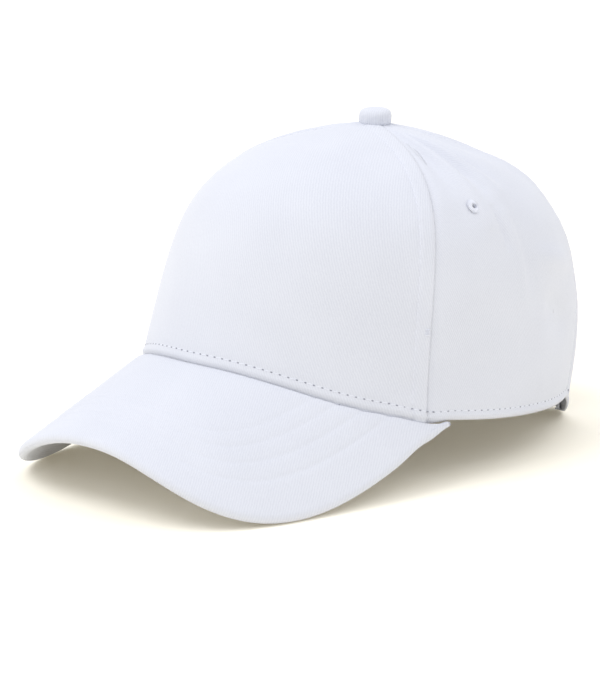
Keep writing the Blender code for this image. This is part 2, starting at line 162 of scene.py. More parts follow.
def opening_edge(degrees):
    """Point of the head opening in this direction from the front, and its radius."""
    s, c = math.sin(math.radians(degrees)), math.cos(math.radians(degrees))
    radius = 1 / math.hypot(s / HEAD_HALF_WIDTH, c / HEAD_HALF_LENGTH)
    return radius * s, -radius * c, radius


def brim_fall(x, y):
    """Height of the brim's upper face over the middle of its seam."""
    return BRIM_PITCH * (y + HEAD_HALF_LENGTH) - BRIM_DROOP * abs(x / BRIM_HALF_WIDTH) ** DROOP_POWER


def brim_normal(x):
    across = DROOP_POWER * BRIM_DROOP / BRIM_HALF_WIDTH * abs(x / BRIM_HALF_WIDTH) ** (DROOP_POWER - 1)
    return Vector((math.copysign(across, x), -BRIM_PITCH, 1)).normalized()


def brim_rim(share):
    """Point of the outer edge, from -1 at its right end to 1 at its left end."""
    s, c = math.sin(share * math.pi / 2), math.cos(share * math.pi / 2)
    reach = HEAD_HALF_LENGTH + BRIM_REACH + BRIM_CENTRE_Y
    n = BRIM_SQUARENESS
    radius = (abs(s / BRIM_HALF_WIDTH) ** n + abs(c / reach) ** n) ** (-1 / n)
    flare = 1 + BRIM_FLARE / BRIM_HALF_WIDTH * smooth(radius * c / 35)
    return flare * radius * s, BRIM_CENTRE_Y - radius * c


def smooth(t):
    t = min(1.0, max(0.0, t))
    return t * t * (3 - 2 * t)


rim = [Vector((*brim_rim(k / 800 - 1), 0)) for k in range(1601)]
BRIM_LIFT = -min(brim_fall(p.x, p.y) - BRIM_THICK * brim_normal(p.x).z for p in rim)
rim_tree = KDTree(len(rim))
for k, point in enumerate(rim):
    rim_tree.insert(point, k)
rim_tree.balance()


def brim_tuck(degrees):
    return BRIM_THICK * smooth((abs(degrees) - TUCK_START) / (BRIM_END - TUCK_START))


def dip(distance, width):
    """1 in the middle of a sewn line, falling to nothing about two widths away."""
    return math.exp(-(distance / width) ** 2)


def from_wall(x, y):
    return math.hypot(x, y) - opening_edge(math.degrees(math.atan2(x, -y)))[2]


def brim_place(x, y, depth):
    """Point this deep under the brim's upper face; beside the crown, deep is straight down."""
    gap = from_wall(x, y)
    down = Vector((0, 0, 1)).lerp(brim_normal(x), smooth(gap / 8)).normalized()
    sunk = brim_tuck(math.degrees(math.atan2(x, -y))) * (1 - smooth(gap / 14))
    return Vector((x, y, BRIM_LIFT + brim_fall(x, y) - sunk)) - depth * down


def quilting(x, y):
    """How far the stitching draws the cover down here, with the faint ripples it leaves."""
    from_rim = rim_tree.find(Vector((x, y, 0)))[2]
    sink = sum(FURROW_DEPTH * dip(from_rim - row, FURROW_WIDTH) for row in QUILT_ROWS)
    sink += 0.7 * dip(from_wall(x, y), 1.6)                     # the seam with the crown
    among_rows = smooth((QUILT_ROWS[-1] + 7 - from_rim) / 6) * smooth((from_rim - 4) / 5)
    pucker = noise.noise(Vector((x, y, 0)) / 4.5) * among_rows
    wave = noise.noise(Vector((x, y, 9)) / 19)
    return sink + 0.13 * (pucker + wave)


def metres(point):
    """The frame's origin is under the middle of the cap's whole length."""
    return Vector((point[0], point[1] + CAP_MIDDLE, point[2])) / 1000


def finish_piece(name, bm, look, nodes=(), body="cap"):
    """Turns a bmesh in the frame's metres into a piece that rides on a body."""
    mesh = bpy.data.meshes.new(name)
    bm.to_mesh(mesh)
    bm.free()
    mesh.materials.append(look)
    mesh.shade_smooth()
    piece = bpy.data.objects.new(name, mesh)
    bpy.context.scene.collection.objects.link(piece)
    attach(piece, body)
    if nodes:
        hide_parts(*nodes)
    return piece


def give_thickness(piece, thick, offset=-1.0):
    solid = piece.modifiers.new("cloth thickness", "SOLIDIFY")
    solid.thickness = thick / 1000
    solid.offset = offset


def cloth_grid(columns, rows, place, cloth_at):
    """A grid laid by `place` and given the flat cloth's own measure by `cloth_at`, both in mm."""
    bm = bmesh.new()
    bmesh.ops.create_grid(bm, x_segments=columns, y_segments=rows, size=0.5)
    flat = {}
    for vert in bm.verts:
        across, up = vert.co.x + 0.5, vert.co.y + 0.5
        flat[vert] = Vector(cloth_at(across, up)) / 1000
        vert.co = metres(place(across, up))
    layer = bm.loops.layers.uv.new("cloth")
    for face in bm.faces:
        for loop in face.loops:
            loop[layer].uv = flat[loop.vert]
    return bm


def area_of(bm):
    return sum(face.calc_area() for face in bm.faces)


def brim_cover(name, node, top):
    """One cover, from inside the crown's seam to the turned edge that it shares with the other."""
    turn_rows, rows, columns = 8, 104, 260
    half = BRIM_THICK / 2

    def spot(across, out):
        share = 2 * across - 1
        x, y, radius = opening_edge(share * BRIM_END)
        x, y = x * (1 + 0.4 / radius), y * (1 + 0.4 / radius)
        rim_x, rim_y = brim_rim(share)
        span = max(0.05, math.hypot(rim_x - x, rim_y - y))
        fold = min(half, span * 0.9)
        row = out * rows
        flat_rows = rows - turn_rows
        if row <= flat_rows:
            go, angle = row / flat_rows * (1 - fold / span), 0.0
        else:
            angle = (row - flat_rows) / turn_rows * math.radians(93)
            go = 1 - fold * (1 - math.sin(angle)) / span
        x, y = x + (rim_x - x) * go, y + (rim_y - y) * go
        return x, y, half * (1 - math.cos(angle))

    def place(across, out):
        x, y, turned_in = spot(across, out)
        depth = turned_in + (0 if turned_in else quilting(x, y))
        # The stiff board stops short of the brim's two ends, so the brim thins there.
        thin = 1 - BRIM_END_TAPER * smooth((abs(2 * across - 1) - 0.86) / 0.14)
        return brim_place(x, y, thin * (depth if top else BRIM_THICK - depth))

    def cloth_at(across, out):
        x, y, _ = spot(across, out)
        return x, y

    bm = cloth_grid(columns, rows, place, cloth_at)
    if not top:
        bmesh.ops.reverse_faces(bm, faces=bm.faces)
    area = area_of(bm)
    piece = finish_piece(name, bm, twill, [node])
    give_thickness(piece, 0.6)


brim_cover("brim_top_twill", "brim_top_cover", True)
brim_cover("brim_under_twill", "brim_under_cover", False)


# Thread
# Spun polyester sewing and embroidery thread, two plies, bleached white. It is a little glossier
# than the cloth, and each stitch is drawn down at both ends, where the needle went through.

thread, tree, shader = new_material("white_polyester_thread", "#dcdfe9", 0.55, Sheen_Weight=0.1)
space = add(tree, "ShaderNodeTexCoord", {}).outputs["Object"]
plies = add(tree, "ShaderNodeTexNoise", {"Vector": space, "Scale": 1 / 0.0004, "Detail": 1.0})
bump = add(tree, "ShaderNodeBump", {"Height": plies.outputs["Fac"], "Strength": 0.6,
                                    "Distance": 0.00008})
tree.links.new(bump.outputs["Normal"], shader.inputs["Normal"])


bead = bpy.data.meshes.new("stitch_bead")
bm = bmesh.new()
bmesh.ops.create_uvsphere(bm, u_segments=6, v_segments=5, radius=1)
bm.to_mesh(bead)
bm.free()


def stitch(bm, middle, along, out, length, width, proud):
    """One stitch: a long bead lying half in the cloth. Everything is in millimetres."""
    along = along.normalized()
    side = out.cross(along).normalized()
    shape = Matrix((side * width / 2, along.cross(side) * proud, along * length / 2)).transposed()
    laid = bead.copy()
    laid.transform(Matrix.Translation(metres(middle)) @ (shape * 0.001).to_4x4())
    bm.from_mesh(laid, face_normals=False, vertex_normals=False)
    bpy.data.meshes.remove(laid)


def sew(bm, path, pitch, shade_beads=None, width=0.45, proud=0.2, hole=0.6):
    """Stitches along a path of (point, outward normal) pairs, which are close together.

    The second bmesh, if one is given, gets a small grey bead at each needle hole between two stitches:
    painted shade, standing in for the hole's shadow.
    Each stitch fills about three quarters of the pitch and lies a little slantwise.
    """
    walked, due = 0.0, pitch / 2
    for (a, normal), (b, _) in zip(path, path[1:]):
        step = (b - a).length
        while step > 0 and walked + step >= due:
            share = (due - walked) / step
            middle = a.lerp(b, share)
            slant = (b - a).normalized() + 0.10 * normal.cross(b - a).normalized()
            stitch(bm, middle + 0.02 * normal, slant, normal, pitch * 0.72, width, proud)
            if shade_beads is not None:
                ahead = middle + pitch / 2 * (b - a).normalized()
                stitch(shade_beads, ahead + 0.05 * normal, b - a, normal, hole * 1.5, hole, 0.16)
            due += pitch
        walked += step


# Needle holes: grey beads of painted shade sunk in the cloth, so that the holes show as grey dots; the
# noise speckles the painted shade between two greys.
needle_shade, tree, shader = new_material("painted_needle_hole_shade", "#a6a9b2", 0.95)
space = add(tree, "ShaderNodeTexCoord", {}).outputs["Object"]
shade_speckle = add(tree, "ShaderNodeTexNoise", {"Vector": space, "Scale": 1 / 0.003, "Detail": 1.0})
tint = add(tree, "ShaderNodeMix", {
    "Factor": shade_speckle.outputs["Fac"], 6: linear("#7f828e"), 7: linear("#a3a6b1")}, data_type="RGBA")
tree.links.new(tint.outputs[2], shader.inputs["Base Color"])


# Brim stitching
# The four quilting rows run round the brim inside its edge, each in the furrow that it pulls.

THREAD_RISE = 0.14                 # from the furrow's floor to the middle of the thread


def quilt_path(row):
    """Points along one row, leaving out those where it would double back or enter the crown."""
    path = []
    for k in range(0, len(rim), 2):
        before, after = rim[max(0, k - 1)], rim[min(len(rim) - 1, k + 1)]
        along = (after - before).normalized()
        inward = Vector((along.y, -along.x, 0))
        spot = rim[k] + row * (inward if inward.dot(Vector((0, BRIM_CENTRE_Y, 0)) - rim[k]) > 0
                               else -inward)
        away = rim_tree.find(spot)[2]
        if away > row - 0.15 and from_wall(spot.x, spot.y) > 0.4:
            path.append(spot)
    return path


bm, shade_beads = bmesh.new(), bmesh.new()
for row in QUILT_ROWS:
    spots = quilt_path(row)
    for side in (1, -1):
        path = []
        for p in spots:
            sunk = quilting(p.x, p.y) - THREAD_RISE
            depth = sunk if side > 0 else BRIM_THICK - sunk
            path.append((brim_place(p.x, p.y, depth), side * brim_normal(p.x)))
        sew(bm, path, QUILT_PITCH, shade_beads, proud=0.26, hole=0.5)
finish_piece("brim_quilting_thread", bm, thread)
# Grey beads of painted shade at the brim's needle holes.
finish_piece("brim_needle_dents", shade_beads, needle_shade)


# Crown panels
# A high front panel, backed with buckram so that it stands, and four soft ones. Each is cut like a
# petal, sewn to the next and pressed; the front one laps over its neighbours under one topstitch.

CROWN_HEIGHT, APEX_BACK = 136.0, 9.5
LEAN_MEAN, LEAN_FRONT = 2.0, 13.5          # inward lean of the wall at the hem, degrees
CREST_MEAN, CREST_BACK = 7.5, 2.5          # slope of the top beside the button, degrees
WALL_PULL, CREST_PULL = 63.0, 90.0         # how far the wall and the top keep their direction
HEM_SIDE = 15.5                            # height of the soft hem beside the strap's pockets
HEM_SIDE_Y, HEM_LEVEL_Y = 60.0, 91.0       # level from the first, on the table at the second
FRONT_SEAM, SIDE_SEAM, BACK_SEAM = 61.5, 137.0, 180.0
SEAM_SWING = 5.8                           # degrees that the front seams swing back, hem to button
TOP_RISE = 0.985
FABRIC = 0.8
LAP = 6.75                                 # from the front seam to its topstitch
HEM_ROW = 4.0                              # from the brim's seam up to the hem's topstitch
TOPSTITCH = 3.6
SEAM_FURROW, SEAM_STITCH = 0.75, 3.2       # depth of an open seam, and its stitches' distance off
ARCH_HALF_WIDTH, ARCH_HEIGHT = 38.0, 48.0
EYELETS = ((78.8, 0.587), (152.0, 0.587))  # degrees round and rise


def bezier(t, a, b, c, d):
    return (1 - t) ** 3 * a + 3 * (1 - t) ** 2 * t * b + 3 * (1 - t) * t * t * c + t**3 * d


def hem_height(degrees):
    """The hem follows the brim, runs level along the side and comes down to the table behind."""
    around = abs(degrees)
    x, y, _ = opening_edge(min(around, BRIM_END))
    height = BRIM_LIFT + brim_fall(x, y) - BRIM_THICK
    if around > BRIM_END:
        behind = opening_edge(around)[1]
        left = max(0.0, (HEM_SIDE_Y - behind) / (HEM_SIDE_Y - y))
        height = HEM_SIDE + (height - HEM_SIDE) * left**1.35
        height *= 1 - smooth((behind - HEM_SIDE_Y) / (HEM_LEVEL_Y - HEM_SIDE_Y))
    return height


def swung(degrees, rise):
    """The front panel widens upward, so every line up the crown swings back as it rises."""
    around = abs(degrees)
    share = smooth(around / FRONT_SEAM) * (1 - smooth((around - FRONT_SEAM) / (SIDE_SEAM - FRONT_SEAM)))
    return degrees + math.copysign(SEAM_SWING * min(1.0, rise) * share, degrees)


def crown_angles(degrees):
    cosine = math.cos(math.radians(degrees))
    return math.radians(LEAN_MEAN + LEAN_FRONT * cosine), math.radians(CREST_MEAN - CREST_BACK * cosine)


def crown_radius(degrees, rise):
    degrees = swung(degrees, rise)
    lean, crest = crown_angles(degrees)
    radius = opening_edge(degrees)[2]
    return bezier(rise, radius, radius - WALL_PULL * math.sin(lean), CREST_PULL * math.cos(crest), 0)


def crown_face(degrees, rise):
    """Point of the smooth outer face; rise goes from 0 at the brim's seam to 1 at the button."""
    radius = crown_radius(degrees, rise)
    degrees = swung(degrees, rise)
    lean, crest = crown_angles(degrees)
    foot = hem_height(degrees) + BRIM_THICK
    height = CROWN_HEIGHT - foot
    up = bezier(rise, 0, WALL_PULL * math.cos(lean), height - CREST_PULL * math.sin(crest), height)
    back = APEX_BACK * max(0.0, up / height) ** 1.5
    angle = math.radians(degrees)
    return Vector((radius * math.sin(angle), back - radius * math.cos(angle), foot + up))


def crown_normal(degrees, rise):
    rise = min(rise, 0.97)
    around = crown_face(degrees + 1, rise) - crown_face(degrees - 1, rise)
    upward = crown_face(degrees, rise + 0.01) - crown_face(degrees, max(0.0, rise - 0.01))
    return around.cross(upward).normalized()


# Soft creases of the side and back panels: where each starts and ends, as degrees round and rise,
# then how wide it is and how far it stands out, in millimetres. Hollows are below zero.
CREASES = (
    ((67, 0.92), (72, 0.66), 6.0, -1.5),
    ((73, 0.93), (84, 0.52), 4.2, 1.5),
    ((80, 0.92), (88, 0.66), 4.4, -1.5),
    ((86, 0.90), (97, 0.64), 5.0, 1.3),
    ((92, 0.88), (101, 0.70), 5.0, -1.1),
    ((88, 0.58), (91.5, 0.44), 1.9, -1.1),
    ((93, 0.56), (98, 0.28), 3.0, 0.9),
    ((97, 0.52), (103, 0.26), 5.5, -0.9),
    ((118, 0.90), (128, 0.78), 11.0, -1.6),
    ((134, 0.78), (136, 0.60), 6.0, 1.2),
    ((106, 0.40), (128, 0.36), 6.0, 1.9),
    ((110, 0.27), (126, 0.17), 8.0, -2.3),
    ((74, 0.10), (92, 0.07), 7.0, -0.5),
    ((50, 0.075), (60, 0.06), 4.0, -0.5),
    ((150, 0.84), (145, 0.52), 5.0, -0.8),
    ((163, 0.82), (168, 0.52), 5.0, 0.7),
)


def creases(degrees, rise):
    """How far the soft cloth stands out here; the right side's creases are shallower."""
    here = Vector((math.radians(abs(degrees)) * 75, rise * 150))
    total = 0.0
    for start, end, width, proud in CREASES:
        if abs(here.x - math.radians(start[0]) * 75) > 60:
            continue
        a = Vector((math.radians(start[0]) * 75, start[1] * 150))
        b = Vector((math.radians(end[0]) * 75, end[1] * 150))
        share = (here - a).dot(b - a) / (b - a).length_squared
        off = (here - a.lerp(b, min(1, max(0, share)))).length
        total += proud * dip(off, width) * (0.35 + 0.65 * smooth(1.3 - abs(2 * share - 1)))
    return total * (1.0 if degrees > 0 else 0.65)


def hem_edge(degrees):
    """Height of the crown's lowest line that shows: the brim's seam in front, the hem elsewhere."""
    return hem_height(degrees) + BRIM_THICK - brim_tuck(degrees)


def crown_relief(degrees, rise, above_edge):
    """How deep the real cloth lies under the smooth face: seams, stitch furrows and creases."""
    around = abs(degrees)
    radius = crown_radius(degrees, rise)
    gaps = [math.radians(around - seam) * radius for seam in (FRONT_SEAM, SIDE_SEAM, BACK_SEAM)]
    spot = Vector((math.radians(degrees) * 75, rise * 150, 0))
    fine = noise.noise(spot / 4.2)
    depth = 0.28 * dip(above_edge - HEM_ROW, 0.9) + 0.12 * fine * dip(above_edge - HEM_ROW, 5)
    depth += 0.6 * dip(above_edge, 0.9) - 0.4 * dip(above_edge - 1.8, 1.4)
    soft = smooth((around - FRONT_SEAM) / 4)
    if gaps[0] <= 0:                                   # the lapped edge of the front panel
        depth -= 0.5 * smooth((gaps[0] + LAP + 0.8) / 1.6)
        depth += 0.8 * dip(gaps[0], 0.9) + 0.26 * dip(gaps[0] + LAP, 0.8)
        depth += 0.13 * fine * dip(gaps[0] + LAP, 6)
    else:
        depth += 0.7 * dip(gaps[0], 2.0)
    for gap in gaps[1:]:
        depth += SEAM_FURROW * dip(gap, 1.1) + 0.22 * dip(abs(gap) - SEAM_STITCH, 0.8)
        depth += 0.16 * fine * dip(gap, 8)
    depth -= 0.2 * noise.noise(spot / 33) + creases(degrees, rise) * (soft + 0.6 * (1 - soft))
    depth -= 0.6 * soft * noise.noise(spot / 21)
    return depth * (0.25 + 0.75 * smooth((1 - rise) / 0.12))


def panel_place(degrees, rise, drop=0.0):
    """A point of the real outer face, `drop` millimetres below the brim's seam if that is set."""
    face = crown_face(degrees, rise)
    relief = crown_relief(degrees, rise, face.z - drop - hem_edge(degrees))
    point = face - relief * crown_normal(degrees, rise)
    point.z -= drop
    return point


def in_arch(point, grow=0.0):
    """Under 1 inside the arched opening behind the head."""
    across = point.x * 1000 / (ARCH_HALF_WIDTH + grow)
    return math.hypot(across, point.z * 1000 / (ARCH_HEIGHT + grow)) if point.y > 0 else 9.0


def crown_panel(name, node, start, end, columns, rows):
    hem_rows = 4
    middle = (start + end) / 2
    heights = [0.0]
    rises = [TOP_RISE * k / (rows - hem_rows) for k in range(rows - hem_rows + 1)]
    for low, high in zip(rises, rises[1:]):
        heights.append(heights[-1] + (crown_face(middle, high) - crown_face(middle, low)).length)

    def spot(across, up):
        row = round(up * rows) - hem_rows
        return start + (end - start) * across, rises[max(0, row)], max(0, -row) / hem_rows * BRIM_THICK

    def place(across, up):
        return panel_place(*spot(across, up))

    def cloth_at(across, up):
        degrees, rise, drop = spot(across, up)
        row = max(0, round(up * rows) - hem_rows)
        return math.radians(degrees - middle) * crown_radius(degrees, rise), heights[row] - drop

    bm = cloth_grid(columns, rows, place, cloth_at)
    if name.startswith("back"):
        gone = [f for f in bm.faces if in_arch(f.calc_center_median()) < 1]
        bmesh.ops.delete(bm, geom=gone, context="FACES")
        for vert in bm.verts:
            if vert.is_boundary and 0.9 < in_arch(vert.co) < 1.1:
                vert.co.x /= in_arch(vert.co)
    for sign in (1, -1):
        for degrees, rise in EYELETS:
            if start < sign * degrees < end:
                hole = metres(crown_face(sign * degrees, rise))
                gone = [f for f in bm.faces if (f.calc_center_median() - hole).length < 0.0019]
                bmesh.ops.delete(bm, geom=gone, context="FACES")
    area = area_of(bm)
    piece = finish_piece(name, bm, twill, [node])
    give_thickness(piece, FABRIC)


crown_panel("front_panel_twill", "front_panel", -FRONT_SEAM, FRONT_SEAM, 216, 150)
crown_panel("side_panel_left_twill", "side_panel_left", FRONT_SEAM, SIDE_SEAM, 104, 150)
crown_panel("side_panel_right_twill", "side_panel_right", -SIDE_SEAM, -FRONT_SEAM, 104, 150)
crown_panel("back_panel_left_twill", "back_panel_left", SIDE_SEAM, BACK_SEAM, 104, 150)
crown_panel("back_panel_right_twill", "back_panel_right", -BACK_SEAM, -SIDE_SEAM, 104, 150)


# Crown stitching
# The hem's topstitch goes right round, through the sweatband. One row holds each front lap, and
# the other seams are pressed open and stitched down on both sides, over the tape inside.

def seam_path(seam, away, low, high):
    """A line up the crown, `away` millimetres to one side of a seam."""
    path = []
    for k in range(101):
        rise = low + (high - low) * k / 100
        degrees = seam + math.degrees(away / crown_radius(seam, rise))
        path.append((panel_place(degrees, rise), crown_normal(degrees, rise)))
    return path


bm, shade_beads = bmesh.new(), bmesh.new()
for side in (1, -1):
    sew(bm, seam_path(side * FRONT_SEAM, -side * LAP, 0.0, 0.93), TOPSTITCH, width=0.36, proud=0.14)
    for away in (SEAM_STITCH, -SEAM_STITCH):
        sew(bm, seam_path(side * SIDE_SEAM, away, 0.0, 0.93), TOPSTITCH)
for away in (SEAM_STITCH, -SEAM_STITCH):
    sew(bm, seam_path(BACK_SEAM, away, 0.34, 0.93), TOPSTITCH)

hem_path = []
for k in range(-621, 622):
    degrees = k / 4
    low, high = 0.0, 0.2
    for _ in range(12):
        rise = (low + high) / 2
        if crown_face(degrees, rise).z - hem_edge(degrees) < HEM_ROW:
            low = rise
        else:
            high = rise
    hem_path.append((panel_place(degrees, rise), crown_normal(degrees, rise)))
sew(bm, hem_path, TOPSTITCH, shade_beads, hole=0.7)
for side in (1, -1):                      # bar tacks where the front lap meets the tape inside
    tack = side * (FRONT_SEAM - 1.3)
    for k in range(5):
        rise = 0.190 + 0.0035 * k
        stitch(bm, panel_place(tack, rise), crown_face(tack + 1, rise) - crown_face(tack - 1, rise),
               crown_normal(tack, rise), 2.4, 0.5, 0.4)
finish_piece("crown_topstitching_thread", bm, thread)
# Grey beads of painted shade at the hem's needle holes.
finish_piece("hem_needle_dents", shade_beads, needle_shade)


# Button
# A shell button covered with the cap's own cloth, which is gathered under its edge. A rivet holds
# it over the point where the five panels meet.

BUTTON = ((0, 5.9), (1.6, 5.88), (3.2, 5.75), (4.7, 5.45), (5.8, 4.95), (6.6, 4.1), (6.95, 3.0),
          (7.0, 1.8), (6.95, 0.6), (6.8, -0.5), (6.3, -1.1), (5.2, -1.3))
bm = bmesh.new()
profile = [bm.verts.new((radius, 0, height)) for radius, height in BUTTON]
edges = [bm.edges.new(pair) for pair in zip(profile, profile[1:])]
bmesh.ops.spin(bm, geom=profile + edges, cent=(0, 0, 0), axis=(0, 0, 1), angle=2 * math.pi, steps=64,
               use_merge=True)
bmesh.ops.remove_doubles(bm, verts=bm.verts, dist=0.001)
bmesh.ops.subdivide_edges(bm, edges=bm.edges[:], cuts=1, use_grid_fill=True, smooth=0.6)
layer = bm.loops.layers.uv.new("cloth")
for face in bm.faces:
    for loop in face.loops:
        loop[layer].uv = loop.vert.co.xy / 1000
for vert in bm.verts:
    x, y, z = vert.co
    low = smooth((3.4 - z) / 3.6)
    pleat = math.sin(13 * math.atan2(y, x) + 2 * math.sin(3 * math.atan2(y, x)))
    swell = 1 + low * 0.022 * pleat + 0.012 * noise.noise(vert.co / 2.5)
    vert.co = metres((x * swell, y * swell + APEX_BACK, z + CROWN_HEIGHT))
bmesh.ops.recalc_face_normals(bm, faces=bm.faces)
if sum(face.normal.z for face in bm.faces) < 0:
    bmesh.ops.reverse_faces(bm, faces=bm.faces)
button = finish_piece("button_twill", bm, twill, ["button_cover"])
give_thickness(button, 0.6)


# Eyelets
# Vent holes through the side and back panels, each bound by hand-wheel satin stitches: about
# thirty threads laid from the edge of the hole outwards, over a round wad of the cloth.

bm = bmesh.new()
for side in (1, -1):
    for degrees, rise in EYELETS:
        centre = crown_face(side * degrees, rise)
        out = crown_normal(side * degrees, rise)
        centre -= crown_relief(side * degrees, rise, 60) * out
        level = out.cross(Vector((0, 0, 1))).normalized()
        steep = out.cross(level)
        for k in range(32):
            angle = 2 * math.pi * k / 32
            away = level * math.cos(angle) + steep * math.sin(angle)
            wobble = 0.12 * noise.noise(Vector((k * 1.7, degrees, side)))
            stitch(bm, centre + (2.3 + wobble) * away + 0.1 * out, away - 0.18 * out, out,
                   2.5, 0.60, 0.36)
            stitch(bm, centre + 1.2 * away - 0.5 * out, 0.5 * away + out, away, 1.8, 0.34, 0.3)
finish_piece("eyelet_thread", bm, thread,
             ["eyelet_side_left", "eyelet_side_right", "eyelet_back_left", "eyelet_back_right"])


# Sweatband and lining
# A folded cotton band lies inside the hem, tapes cover the seams, and white buckram, an open
# stiffened weave, backs the front panel up to where the crown turns over.

SWEATBAND_END, SWEATBAND_RISE = 156.5, 0.18
BAND_HEIGHT, BAND_ROWS = 29, (26.3, 6.4)        # its two rows of stitches, above its lower edge
band_cotton = woven("white_sweatband_cotton", "#d3d6df", "#c4c7d1", 0.0012, math.radians(-40), 0.00010)
tape_cotton = woven("white_cotton_tape", "#cfd2da", "#bfc2cb", 0.0014, math.radians(0), 0.00012)
buckram = woven("white_buckram", "#cdced0", "#aeb0b3", 0.0022, math.radians(90), 0.00030)


def band_place(degrees, rise, drop=0.0, proud=0.0):
    around = abs(degrees)
    deep = 2.4 + (3.6 + 4.4 * rise / SWEATBAND_RISE) * smooth((around - 124) / 20)
    point = crown_face(degrees, rise) - (deep - proud) * crown_normal(degrees, rise)
    point.z -= drop
    return point


def band_spot(across, up):
    degrees = SWEATBAND_END * (2 * across - 1)
    return degrees, SWEATBAND_RISE * max(0.0, up - 0.1) / 0.9, 2.4 * max(0.0, 0.1 - up) / 0.1


def band_surface(across, up):
    degrees, rise, drop = band_spot(across, up)
    height = up * BAND_HEIGHT
    furrow = 0.4 * dip(height - BAND_ROWS[0], 0.8) + 0.4 * dip(height - BAND_ROWS[1], 0.9)
    puff = 0.35 * math.sin(math.pi * min(1.0, up)) + 0.25 * noise.noise(Vector((degrees / 3.5, up * 2, 4)))
    return band_place(degrees, rise, drop, furrow - puff)


bm = cloth_grid(330, 30, band_surface,
                lambda a, u: (math.radians(SWEATBAND_END * (2 * a - 1)) * 92, u * BAND_HEIGHT))
area = area_of(bm)
band = finish_piece("sweatband_cotton", bm, band_cotton, ["sweatband"])
give_thickness(band, 1.1)

bm = bmesh.new()
for up in (BAND_ROWS[0] / BAND_HEIGHT, BAND_ROWS[1] / BAND_HEIGHT):
    path = []
    for k in range(901):
        across = 0.004 + 0.992 * k / 900
        degrees, rise, _ = band_spot(across, up)
        inward = -crown_normal(degrees, rise)
        path.append((band_surface(across, up) + 1.1 * inward, inward))
    sew(bm, path, TOPSTITCH)
finish_piece("sweatband_thread", bm, thread)


def seam_tape(name, node, seam, start):
    width, thick = 10.4, 0.6

    def place(across, up):
        rise = start + (0.955 - start) * up
        half = math.degrees(min(width / 2 / crown_radius(seam, rise), 0.35))
        degrees = seam + (2 * across - 1) * half
        ridge = 0.16 * math.cos(2 * math.pi * (across - 0.5) * 3)
        depth = FABRIC + 0.5 - ridge + 0.1 * noise.noise(Vector((across * 2, up * 30, seam)))
        return crown_face(degrees, rise) - depth * crown_normal(degrees, rise)

    length = sum((place(0.5, (k + 1) / 30) - place(0.5, k / 30)).length for k in range(30))
    bm = cloth_grid(12, 110, place, lambda a, u: (a * width, u * length))
    area = area_of(bm)
    tape = finish_piece(name, bm, tape_cotton, [node])
    give_thickness(tape, thick)


seam_tape("tape_front_left", "seam_tape_front_left", FRONT_SEAM, 0.03)
seam_tape("tape_front_right", "seam_tape_front_right", -FRONT_SEAM, 0.03)
seam_tape("tape_side_left", "seam_tape_side_left", SIDE_SEAM, 0.03)
seam_tape("tape_side_right", "seam_tape_side_right", -SIDE_SEAM, 0.03)
seam_tape("tape_back", "seam_tape_back", BACK_SEAM, 0.31)


def buckram_place(across, up):
    rise = 0.72 * max(0.0, up - 0.03) / 0.97
    edge = FRONT_SEAM - math.degrees(6.2 / crown_radius(FRONT_SEAM, rise))
    degrees = edge * (2 * across - 1)
    ripple = 0.12 * noise.noise(Vector((degrees / 9, rise * 9, 2)))
    point = crown_face(degrees, rise) - (FABRIC + 0.5 + ripple) * crown_normal(degrees, rise)
    point.z -= 2.4 * max(0.0, 0.03 - up) / 0.03
    return point


bm = cloth_grid(120, 100, buckram_place, lambda a, u: (190 * (a - 0.5), 112 * u))
area = area_of(bm)
backing = finish_piece("front_buckram_mesh", bm, buckram, ["front_buckram"])
give_thickness(backing, 0.7)


def label_place(across, up):
    degrees, rise = 117 + 11 * across, 0.22 + 0.18 * up
    curl = 0.5 * smooth((0.4 - up) / 0.4) * (0.6 + 0.4 * math.sin(3 * across))
    return crown_face(degrees, rise) - (2.1 + curl) * crown_normal(degrees, rise)


bm = cloth_grid(20, 30, label_place, lambda a, u: (16 * a, 27 * u))
area = area_of(bm)
label = finish_piece("care_label_satin", bm, tape_cotton, ["care_label"])
give_thickness(label, 0.4)


# Arch binding
# A strip of the twill is folded round the edge of the back opening, from hem to hem, and one row
# of stitches goes through both its legs.

# The folded strip's section: how far from the opening's edge, and how far out of the cloth.
BINDING = ((5.6, 0.15), (5.5, 0.42), (4.6, 0.5), (3.5, 0.36), (2.4, 0.52), (1.0, 0.62), (-0.3, 0.5),
           (-1.0, 0.1), (-1.15, -0.4), (-1.0, -0.9), (-0.3, -1.25), (1.0, -1.35), (5.2, -1.3))


def back_wall(x, height):
    """Point of the smooth outer face behind the head, at this x and height."""
    low_angle, high_angle = 100.0, 180.0
    for _ in range(15):
        angle = (low_angle + high_angle) / 2
        low, high = 0.0, 0.6
        for _ in range(15):
            rise = (low + high) / 2
            if crown_face(angle, rise).z < height:
                low = rise
            else:
                high = rise
        if crown_face(angle, rise).x > abs(x):
            low_angle = angle
        else:
            high_angle = angle
    return Vector((x, crown_face(angle, rise).y, height))


ARCH_STEPS = 90
arch_frames = []
for k in range(ARCH_STEPS + 1):
    angle = math.radians(1.5 + 177 * k / ARCH_STEPS)
    c, s = math.cos(angle), math.sin(angle)
    edge = back_wall(ARCH_HALF_WIDTH * c, ARCH_HEIGHT * s)
    grown = back_wall((ARCH_HALF_WIDTH + 6) * c, (ARCH_HEIGHT + 6) * s)
    arch_frames.append((edge, (grown - edge).normalized()))


def binding_frame(along):
    k = min(ARCH_STEPS, round(along * ARCH_STEPS))
    edge, away = arch_frames[k]
    ahead = arch_frames[min(ARCH_STEPS, k + 1)][0] - arch_frames[max(0, k - 1)][0]
    out = away.cross(ahead).normalized()
    return edge, away, out if out.y > 0 else -out


def binding_place(along, fold):
    edge, away, out = binding_frame(along)
    w, n = BINDING[round(fold * (len(BINDING) - 1))]
    ripple = 0.08 * noise.noise(Vector((along * 30, w, 0)))
    return edge + w * away + (n + ripple) * out


